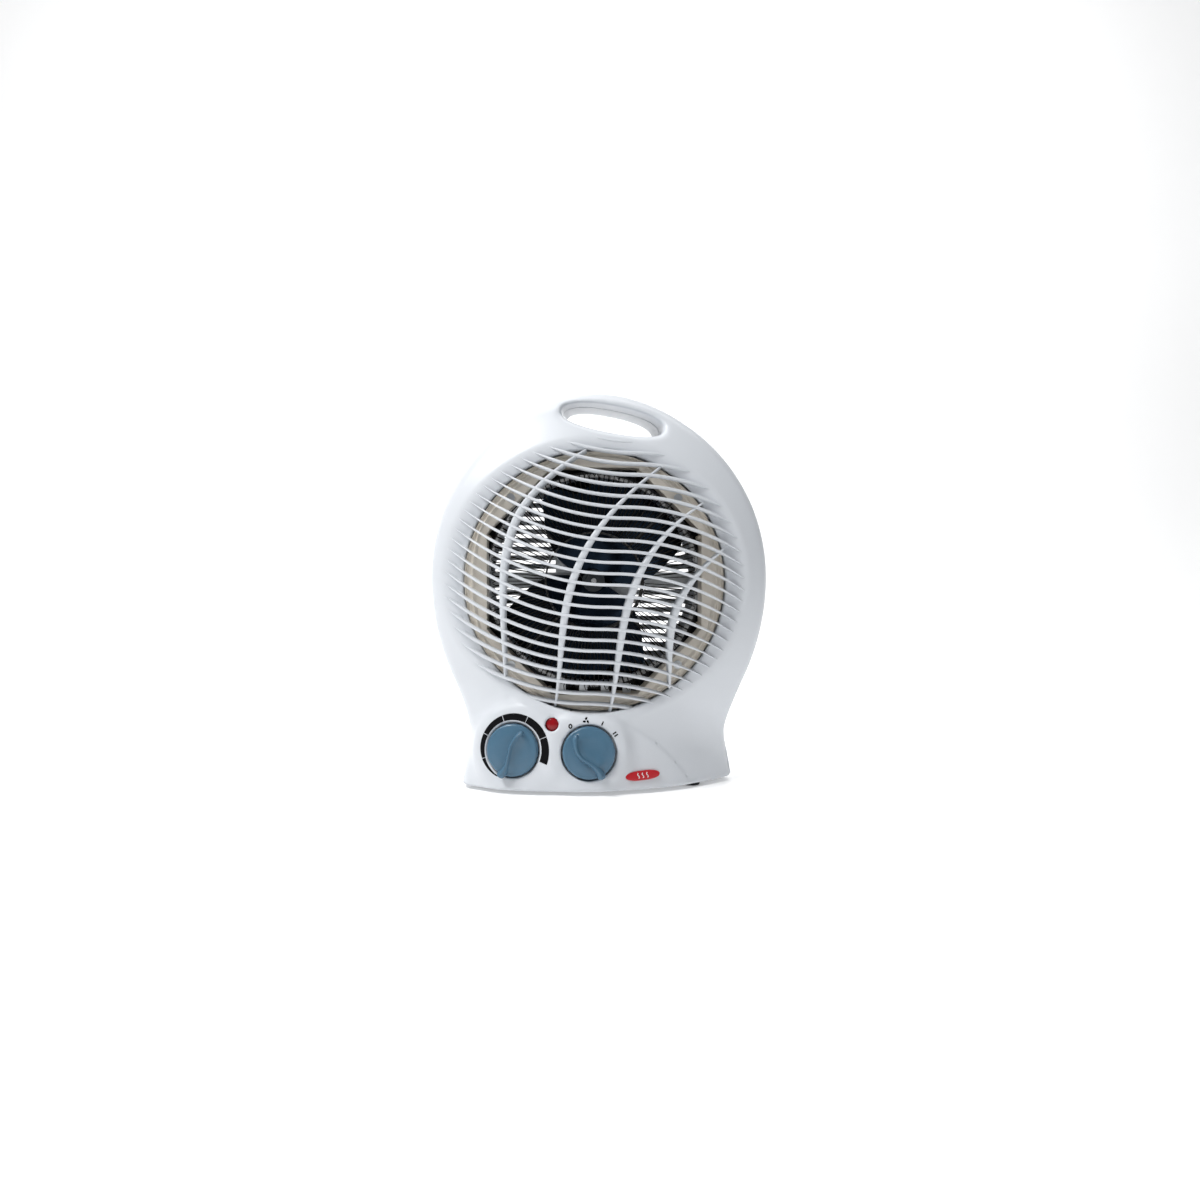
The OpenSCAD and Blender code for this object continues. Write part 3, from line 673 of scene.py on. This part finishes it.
def spline(points, n):
    """A smooth curve through the points."""
    p = np.array(points, float)
    p = np.vstack([2 * p[0] - p[1], p, 2 * p[-1] - p[-2]])
    out = []
    for t in np.linspace(0, len(points) - 1 - 1e-6, n):
        k, f = int(t), t - int(t)
        a, b, c, d = p[k:k + 4]
        out.append(0.5 * (2 * b + (c - a) * f + (2 * a - 5 * b + 4 * c - d) * f ** 2
                          + (3 * b - a - 3 * c + d) * f ** 3))
    return np.array(out)


def side_of(path, u, v):
    """Signed distance from a path: positive on its right, seen from its first point."""
    gap = np.hypot(path[:, 0] - u, path[:, 1] - v)
    k = int(np.clip(gap.argmin(), 1, len(path) - 2))
    ahead = path[k + 1] - path[k - 1]
    cross = ahead[1] * (u - path[k, 0]) - ahead[0] * (v - path[k, 1])
    return math.copysign(gap.min(), cross)


def knob_object(name, i):
    """A knob: skirt, a face that swells up to the fin on one side, and the fin as a bent bar."""
    origin, axes = KNOBS[i]
    path = spline(FINS[i], 60)
    build = Build()
    turn = np.linspace(0, 2 * math.pi, 96, endpoint=False)
    rings = []
    skirt = [(0.5, 0.05), (KNOB_R - 1.2, 0.0), (KNOB_R - 0.3, 0.3), (KNOB_R, 1.0), (KNOB_R - 0.15, 3.6),
             (KNOB_R - 0.4, 4.6), (KNOB_R - 0.9, 5.2), (KNOB_R - 1.6, KNOB_H)]
    for r, h in skirt + [(r, None) for r in (16.6, 15.5, 14, 12.5, 11, 9.5, 8, 6.5, 5, 3.5, 2, 0.4)]:
        ring = []
        for a in turn:
            u, v = r * math.cos(a), r * math.sin(a)
            level = h
            if h is None:
                d = side_of(path, u, v)
                swell = smooth_step((16.9 - r) / 6)
                level = KNOB_H + swell * (0.5 + (4.8 * math.exp(d / 3.4) if d < 0 else 0))
            ring.append(origin + u * axes[0] + v * axes[1] + (level + KNOB_GAP) * axes[2])
        rings.append(ring)
    build.loft(rings)
    section = round_bar(20, 2.6)
    rings = []
    for k, t in enumerate(np.linspace(-1, 1, len(path))):
        step = path[min(k + 1, len(path) - 1)] - path[max(k - 1, 0)]
        across = (step[1] * axes[0] - step[0] * axes[1]) / np.hypot(*step)
        end = math.sqrt(max(1 - abs(t) ** 8, 0.0009))
        half = (2.2 + 1.2 * t * t + 0.8 * max(t, 0) ** 2) * end
        low = FIN_LOW + 3.0 * max(t, 0) ** 2
        top = FIN_TOP - 1.7 * t * t
        height = (top + low) / 2 + KNOB_GAP
        middle = origin + path[k][0] * axes[0] + path[k][1] * axes[1] + height * axes[2]
        tall = (top - low) / 2 * (0.7 + 0.3 * end)
        rings.append([middle + s * half * (1 - 0.5 * max(q, 0)) * across + q * tall * axes[2]
                      for s, q in section])
    build.loft(rings)
    return build.object(name, 50)


def make_knobs():
    dress(knob_object("thermostat_knob_cap", 0), "blue_plastic", "thermostat_dial", "thermostat_knob")
    dress(knob_object("function_knob_cap", 1), "blue_plastic", "function_dial", "function_knob")


# ---------------------------------------------------------------- print on the foot
def on_surface(i, u, v, lift=0.14):
    """The front shell's surface under a place (u, v) of a knob's plane, lifted along its normal."""
    origin, axes = KNOBS[i]
    p = origin + u * axes[0] + v * axes[1] + 12 * axes[2]
    for _ in range(50):
        p = p - axes[2] * float(front_solid(*(np.array([c]) for c in p))[0]) * 0.8
    normal = gradient(front_solid, p[None])[0]
    return p + normal / np.linalg.norm(normal) * lift


def print_patch(build, i, outline_points, thick=0.16):
    """A thin raised print whose outline is a strip of point pairs in a knob's plane."""
    axes = KNOBS[i][1]
    rings = []
    for pair in outline_points:
        a, b = on_surface(i, *pair[0]), on_surface(i, *pair[1])
        m = (a + b) / 2 if len(pair) < 3 else on_surface(i, *pair[2])
        down = -axes[2] * (thick + 0.25)
        rings.append([a, m, b, b + down, m + down, a + down])
    build.loft(rings)


def polar(r, degrees):
    a = math.radians(degrees)
    return r * math.sin(a), r * math.cos(a)


SCALE_FROM = -150
SCALE_TO = 111
SCALE_PARTS = 6
SCALE_GAP = 0.6  # half the gap between two parts, in degrees
SCALE_WIDTH = ([SCALE_FROM, -120, -90, 0, SCALE_TO], [0.8, 2.1, 3.2, 4.8, 5.9])
BAR_HALF = 0.46


def add_scale(build):
    """The wedge ring of the thermostat, in six parts."""
    step = (SCALE_TO - SCALE_FROM) / SCALE_PARTS
    for k in range(SCALE_PARTS):
        start = SCALE_FROM + k * step
        strip = []
        for a in np.linspace(start + SCALE_GAP, start + step - SCALE_GAP, 14):
            width = np.interp(a, *SCALE_WIDTH)
            strip.append((polar(SCALE_IN, a), polar(SCALE_IN + width, a), polar(SCALE_IN + width / 2, a)))
        print_patch(build, 0, strip)


def add_zero(build, degrees):
    cx, cy = polar(MARK_R, degrees)
    ring = []
    for a in np.linspace(0, 360, 25):
        ux, uy = polar(1, a)
        ring.append(((cx + 1.45 * ux, cy + 1.8 * uy), (cx + 0.55 * ux, cy + 0.85 * uy)))
    print_patch(build, 1, ring)


def add_small_fan(build, degrees):
    cx, cy = polar(MARK_R, degrees)
    for lobe in (0, 120, 240):
        strip = []
        for t in np.linspace(-0.96, 0.96, 9):
            bx, by = polar(1.45 + 1.05 * t, lobe + 14 * t)
            wx, wy = polar(0.8 * math.sqrt(1 - t * t), lobe + 90)
            strip.append(((cx + bx - wx, cy + by - wy), (cx + bx + wx, cy + by + wy)))
        print_patch(build, 1, strip)


def add_bar(build, degrees, offset):
    cx, cy = polar(MARK_R, degrees)
    ux, uy = polar(1, degrees)
    vx, vy = polar(1, degrees + 90)
    near, far = offset - BAR_HALF, offset + BAR_HALF
    strip = [((cx + ux * t + vx * near, cy + uy * t + vy * near),
              (cx + ux * t + vx * far, cy + uy * t + vy * far)) for t in np.linspace(-1.5, 1.5, 5)]
    print_patch(build, 1, strip)


def make_marks():
    build = Build()
    add_scale(build)
    add_zero(build, -35)
    add_small_fan(build, -5)
    for degrees, offset in ((25, 0), (55, -1.0), (55, 1.0)):
        add_bar(build, degrees, offset)
    dress(build.object("dial_print", 30), "black_fan", "casing", mat=INK)


# ---------------------------------------------------------------- pilot light and badge
def make_pilot():
    origin, axes = PILOT
    build = Build()
    dome = [(PILOT_R * math.cos(a), 1.2 + 1.5 * math.sin(a)) for a in np.linspace(0, math.pi / 2 - 0.06, 10)]
    build.lathe([(0.3, -6), (PILOT_R, -6), (PILOT_R, 1.2)] + dome, origin, axes, 48)
    dress(build.object("pilot_lens_cap", 40), "red_lens", "casing", "pilot_lens")


BADGE_HALF_W = 13
BADGE_HALF_H = 3.4
BADGE_LIFT = 1.1
BADGE_SLANT = 0.05


def make_badge():
    """A plain oval badge with three heat waves, lying on the bowed foot."""
    low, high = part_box("heat_badge")
    centre = np.array((low + high) / 2) * 1000
    turn = math.asin((centre[0] - BASE_X) / (BASE_R - BASE_LEAN * centre[2]))
    across = np.array([math.cos(turn), math.sin(turn), 0])
    out = np.array([math.sin(turn), -math.cos(turn), BASE_LEAN])
    out /= np.linalg.norm(out)
    up = np.cross(out, across)
    centre = centre + BADGE_LIFT * out
    across, up = across + BADGE_SLANT * up, up - BADGE_SLANT * across
    build = Build()
    rings = []
    for grow, lift in ((-0.1, -0.6), (0.0, 0.0), (0.0, 0.3), (-0.2, 0.5), (-0.6, 0.6)):
        ring = []
        for a in np.linspace(0, 2 * math.pi, 64, endpoint=False):
            s = math.copysign(abs(math.cos(a)) ** 0.75, math.cos(a))
            q = math.copysign(abs(math.sin(a)) ** 0.9, math.sin(a))
            ring.append(centre + (BADGE_HALF_W + grow) * s * across + (BADGE_HALF_H + grow) * q * up
                        + lift * out)
        rings.append(ring)
    build.loft(rings)
    dress(build.object("heat_badge_plate", 40), "badge_red", "casing", "heat_badge")
    build = Build()
    for x in (-3.4, 0, 3.4):
        path = [centre + (x + 0.55 * math.sin(t * 2 * math.pi)) * across + (t - 0.5) * 3.6 * up + 0.62 * out
                for t in np.linspace(0, 1, 16)]
        tube(build, path, 0.32, 6)
    dress(build.object("heat_badge_waves"), "white_plastic", "casing", mat=SYMBOL_WHITE)


# ---------------------------------------------------------------- heater
def on_octagon(width, degrees):
    """Radius of the duct's edge in a direction: an octagon a little taller than wide."""
    half = width / 2
    across, up = abs(math.cos(math.radians(degrees))), abs(math.sin(math.radians(degrees)))
    return min(half / max(across, 1e-9), (half + DUCT_RISE) / max(up, 1e-9),
               (half + DUCT_RISE / 2) * math.sqrt(2) / (across + up))


def ring_point(r, degrees, y):
    a = math.radians(degrees)
    return np.array([FAN_X + r * math.cos(a), y, FAN_Z + r * math.sin(a)])


def make_baffle():
    """A pressed plate: octagonal hole, flat ring, raised bead and a turned-up rim."""
    build = Build()
    turn = np.arange(0, 360, 3.0)
    profile = [(0.0, 0.8), (0.0, -0.2), (0.12, -0.8), (0.5, -0.8), (0.58, -1.6), (0.66, -2.2), (0.74, -1.6),
               (0.8, -0.8), (0.93, -0.8), (0.97, -2.2), (1.0, -2.6), (1.02, -2.2), (1.02, 0.8)]
    rings = []
    for a in turn:
        inner = on_octagon(DUCT_W - 1, a)
        ring = [ring_point(inner + (BAFFLE_R - 0.3 - inner) * t, a, BAFFLE_Y + 0.8 + h) for t, h in profile]
        rings.append(ring)
    build.loft(rings, closed=True)
    # The plate wears the lighter copy of mica, which is painted light.
    dress(build.object("heater_baffle_plate", 35), "mica", "casing", "heater_baffle", MICA_PAINTED_LIGHT)


def make_duct():
    """Eight boards, with a row of rivets in each corner."""
    build = Build()
    rings = []
    for a in np.arange(0, 360, 3.0):
        inner, outer = on_octagon(DUCT_W - 0.2, a), on_octagon(DUCT_W + 2, a)
        rings.append([ring_point(inner, a, DUCT_FRONT), ring_point(outer, a, DUCT_FRONT),
                      ring_point(outer, a, DUCT_REAR), ring_point(inner, a, DUCT_REAR)])
    build.loft(rings, closed=True)
    for a in np.arange(22.5, 360, 45):
        for y in (-30, -21, -12):
            corner = ring_point(on_octagon(DUCT_W, a) - 0.8, a, y)
            build.lathe([(0.2, 0.9), (1.6, 0.7), (1.7, 0), (1.6, -0.7), (0.2, -0.9)], corner, Y_AXES, 12)
    dress(build.object("heater_duct_boards", 20), "mica", "casing", "heater_duct")


def make_inner_ring():
    """A notched ring that holds the wires' inner folds."""
    build = Build()
    rings = []
    for a in np.arange(0, 360, 2.5):
        notch = 1.6 if int(a / 2.5) % 3 == 0 else 0.0
        rings.append([ring_point(INNER_R - 1, a, -31.4 + notch), ring_point(INNER_R, a, -31.4 + notch),
                      ring_point(INNER_R, a, -10 - notch), ring_point(INNER_R - 1, a, -10 - notch)])
    build.loft(rings, closed=True)
    # The ring wears the near-black copy of mica, which is painted shade.
    dress(build.object("heater_inner_ring_board", 20), "mica", "casing", "heater_inner_ring", MICA_PAINTED_SHADE)


def make_wires():
    """Two layers of wire, folded to and fro between the inner ring and the duct."""
    for name, node, y, shift in (("heating_wire_front_ribbon", "heating_wire_front", -27, 0.0),
                                 ("heating_wire_rear_ribbon", "heating_wire_rear", -15, 0.5)):
        build = Build()
        half = 90 / FOLDS
        inner = INNER_R + 2.2
        path = []
        for i in range(FOLDS - 1):
            a = (i + shift) * 360 / FOLDS + 4
            outer = on_octagon(DUCT_W, a) - 3.2
            fold = [(inner, -half, 0.3), (outer - 2.5, -half * 0.9, 0.8), (outer, -half * 0.35, 0),
                    (outer, half * 0.35, 0), (outer - 2.5, half * 0.9, -0.8), (inner, half, -0.3),
                    (inner - 1.2, half * 2, 0)]
            path += [ring_point(r, a + turn, y + dy) for r, turn, dy in fold]
        tube(build, path, WIRE_R, 6)
        dress(build.object(name), "heating_alloy", "casing", node)


def make_cross_boards():
    """Thin boards that carry the wires between the inner ring and the duct."""
    build = Build()
    half_t = 0.5
    for a in (45, 135, 225, 315):
        out = ring_point(1, a, 0) - ring_point(0, a, 0)
        across = np.array([-out[2], 0, out[0]])
        end = on_octagon(DUCT_W, a)
        rings = []
        for r in np.linspace(INNER_R + 0.2, end - 0.3, 24):
            bite = 4.4 + 0.5 * math.cos(r * 2.2) if INNER_R + 2 < r < end - 2.6 else 0.0
            front = ring_point(r, a, -29.4 + bite)
            rear = ring_point(r, a, -12 - bite)
            rings.append([front + half_t * across, front - half_t * across,
                          rear - half_t * across, rear + half_t * across])
        build.loft(rings)
    # The boards wear the near-black copy of mica, which is painted shade.
    dress(build.object("heater_cross_board_set", 20), "mica", "casing", "heater_cross_boards", MICA_PAINTED_SHADE)


# ---------------------------------------------------------------- fan
def make_fan():
    """Two broad twisted blades on a hub."""
    build = Build()
    hub = [(2.1, 0), (8.2, 0), (9, 0.8), (9, 13.2), (8.2, 14), (2.1, 14)]
    build.lathe(hub + [(2.1, 0)], np.array([FAN_X, 15, FAN_Z]), Y_AXES, 40)
    chord = np.linspace(-1, 1, 33)
    for middle in (71, 251):
        rings = []
        for r in np.linspace(BLADE_ROOT, BLADE_TIP, 30):
            spread = np.interp(r, [BLADE_ROOT, 30, 60, 72, BLADE_TIP], [88, 78, 57, 51, 47])
            pitch = np.interp(r, [BLADE_ROOT, 30, BLADE_TIP], [3.5, 9, 11])
            face = [(middle + spread * s, 8 - pitch * s + 1.2 * (s * s - 0.4)) for s in chord]
            rings.append([ring_point(r, a, y - BLADE_T / 2) for a, y in face]
                         + [ring_point(r, a, y + BLADE_T / 2) for a, y in face[::-1]])
        build.loft(rings)
    dress(build.object("fan_impeller_blades", 50), "black_fan", "rotor", "fan_impeller")


# ---------------------------------------------------------------- stage, light and camera
FLOOR_FRONT = -2.6
FLOOR_BEND_Y = 0.9
FLOOR_BEND_R = 0.9
FLOOR_TOP = 3.2
FLOOR_HALF_W = 3.2


def make_stage():
    """A pale floor that bends up into a backdrop, in metres."""
    bend = np.linspace(0.05, math.pi / 2, 20)
    profile = [(FLOOR_FRONT, 0.0), (FLOOR_BEND_Y, 0.0)]
    profile += [(FLOOR_BEND_Y + FLOOR_BEND_R * math.sin(a), FLOOR_BEND_R * (1 - math.cos(a))) for a in bend]
    profile += [(FLOOR_BEND_Y + FLOOR_BEND_R, FLOOR_TOP)]
    points = [(x / MM, y / MM, z / MM) for y, z in profile for x in (-FLOOR_HALF_W, FLOOR_HALF_W)]
    faces = [(2 * i, 2 * i + 1, 2 * i + 3, 2 * i + 2) for i in range(len(profile) - 1)]
    floor = add_mesh("studio_floor", points, faces)
    pale = material("studio_floor", (0.9, 0.9, 0.9), 0.7, bump=0.02, scale=40, tint=0.004,
                    Emission_Color=(1, 1, 1, 1), Emission_Strength=0.2)
    floor.data.materials.append(pale)


OBJECT_MIDDLE = (0, 0, 0.15)
DAYLIGHT = (0.96, 0.98, 1.0, 1)
WORLD_STRENGTH = 0.22


def area_light(name, place, aim, size, power, color=(1, 1, 1)):
    data = bpy.data.lights.new(name, "AREA")
    data.shape = "RECTANGLE"
    data.size, data.size_y = size
    data.energy = power
    data.color = color
    obj = bpy.data.objects.new(name, data)
    bpy.context.scene.collection.objects.link(obj)
    obj.location = place
    obj.rotation_euler = (Vector(aim) - Vector(place)).to_track_quat("-Z", "Y").to_euler()


def make_lights():
    world = bpy.data.worlds.new("studio")
    bpy.context.scene.world = world
    world.use_nodes = True
    background = world.node_tree.nodes["Background"]
    background.inputs["Color"].default_value = DAYLIGHT
    background.inputs["Strength"].default_value = WORLD_STRENGTH
    area_light("key", (-0.86, -0.56, 1.36), OBJECT_MIDDLE, (0.6, 0.6), 22)
    area_light("fill", (1.2, -1.0, 1.0), OBJECT_MIDDLE, (1.2, 1.2), 2.2, (0.92, 0.96, 1))
    area_light("through", (0.25, 1.1, 0.6), (0, 0.06, 0.15), (0.5, 0.5), 4)
    area_light("backdrop", (0, 0.35, 1.6), (0, 1.7, 0.5), (2.4, 0.8), 24)


CAMERA_AT = (-0.021, -0.78, 0.165)
CAMERA_AIM = Vector((0.0009, 0, 0.1364))
CAMERA_LENS = 31


def make_camera():
    data = bpy.data.cameras.new("camera")
    data.sensor_width = 36
    data.lens = CAMERA_LENS
    data.clip_start = 0.01
    obj = bpy.data.objects.new("camera", data)
    bpy.context.scene.collection.objects.link(obj)
    obj.location = CAMERA_AT
    obj.rotation_euler = (CAMERA_AIM - obj.location).to_track_quat("-Z", "Y").to_euler()
    bpy.context.scene.camera = obj


make_camera()
make_lights()
make_stage()
make_front_shell()
make_rear_shell()
make_knobs()
make_marks()
make_pilot()
make_badge()
make_baffle()
make_duct()
make_inner_ring()
make_wires()
make_cross_boards()
make_fan()
bpy.context.scene.view_settings.view_transform = "Standard"
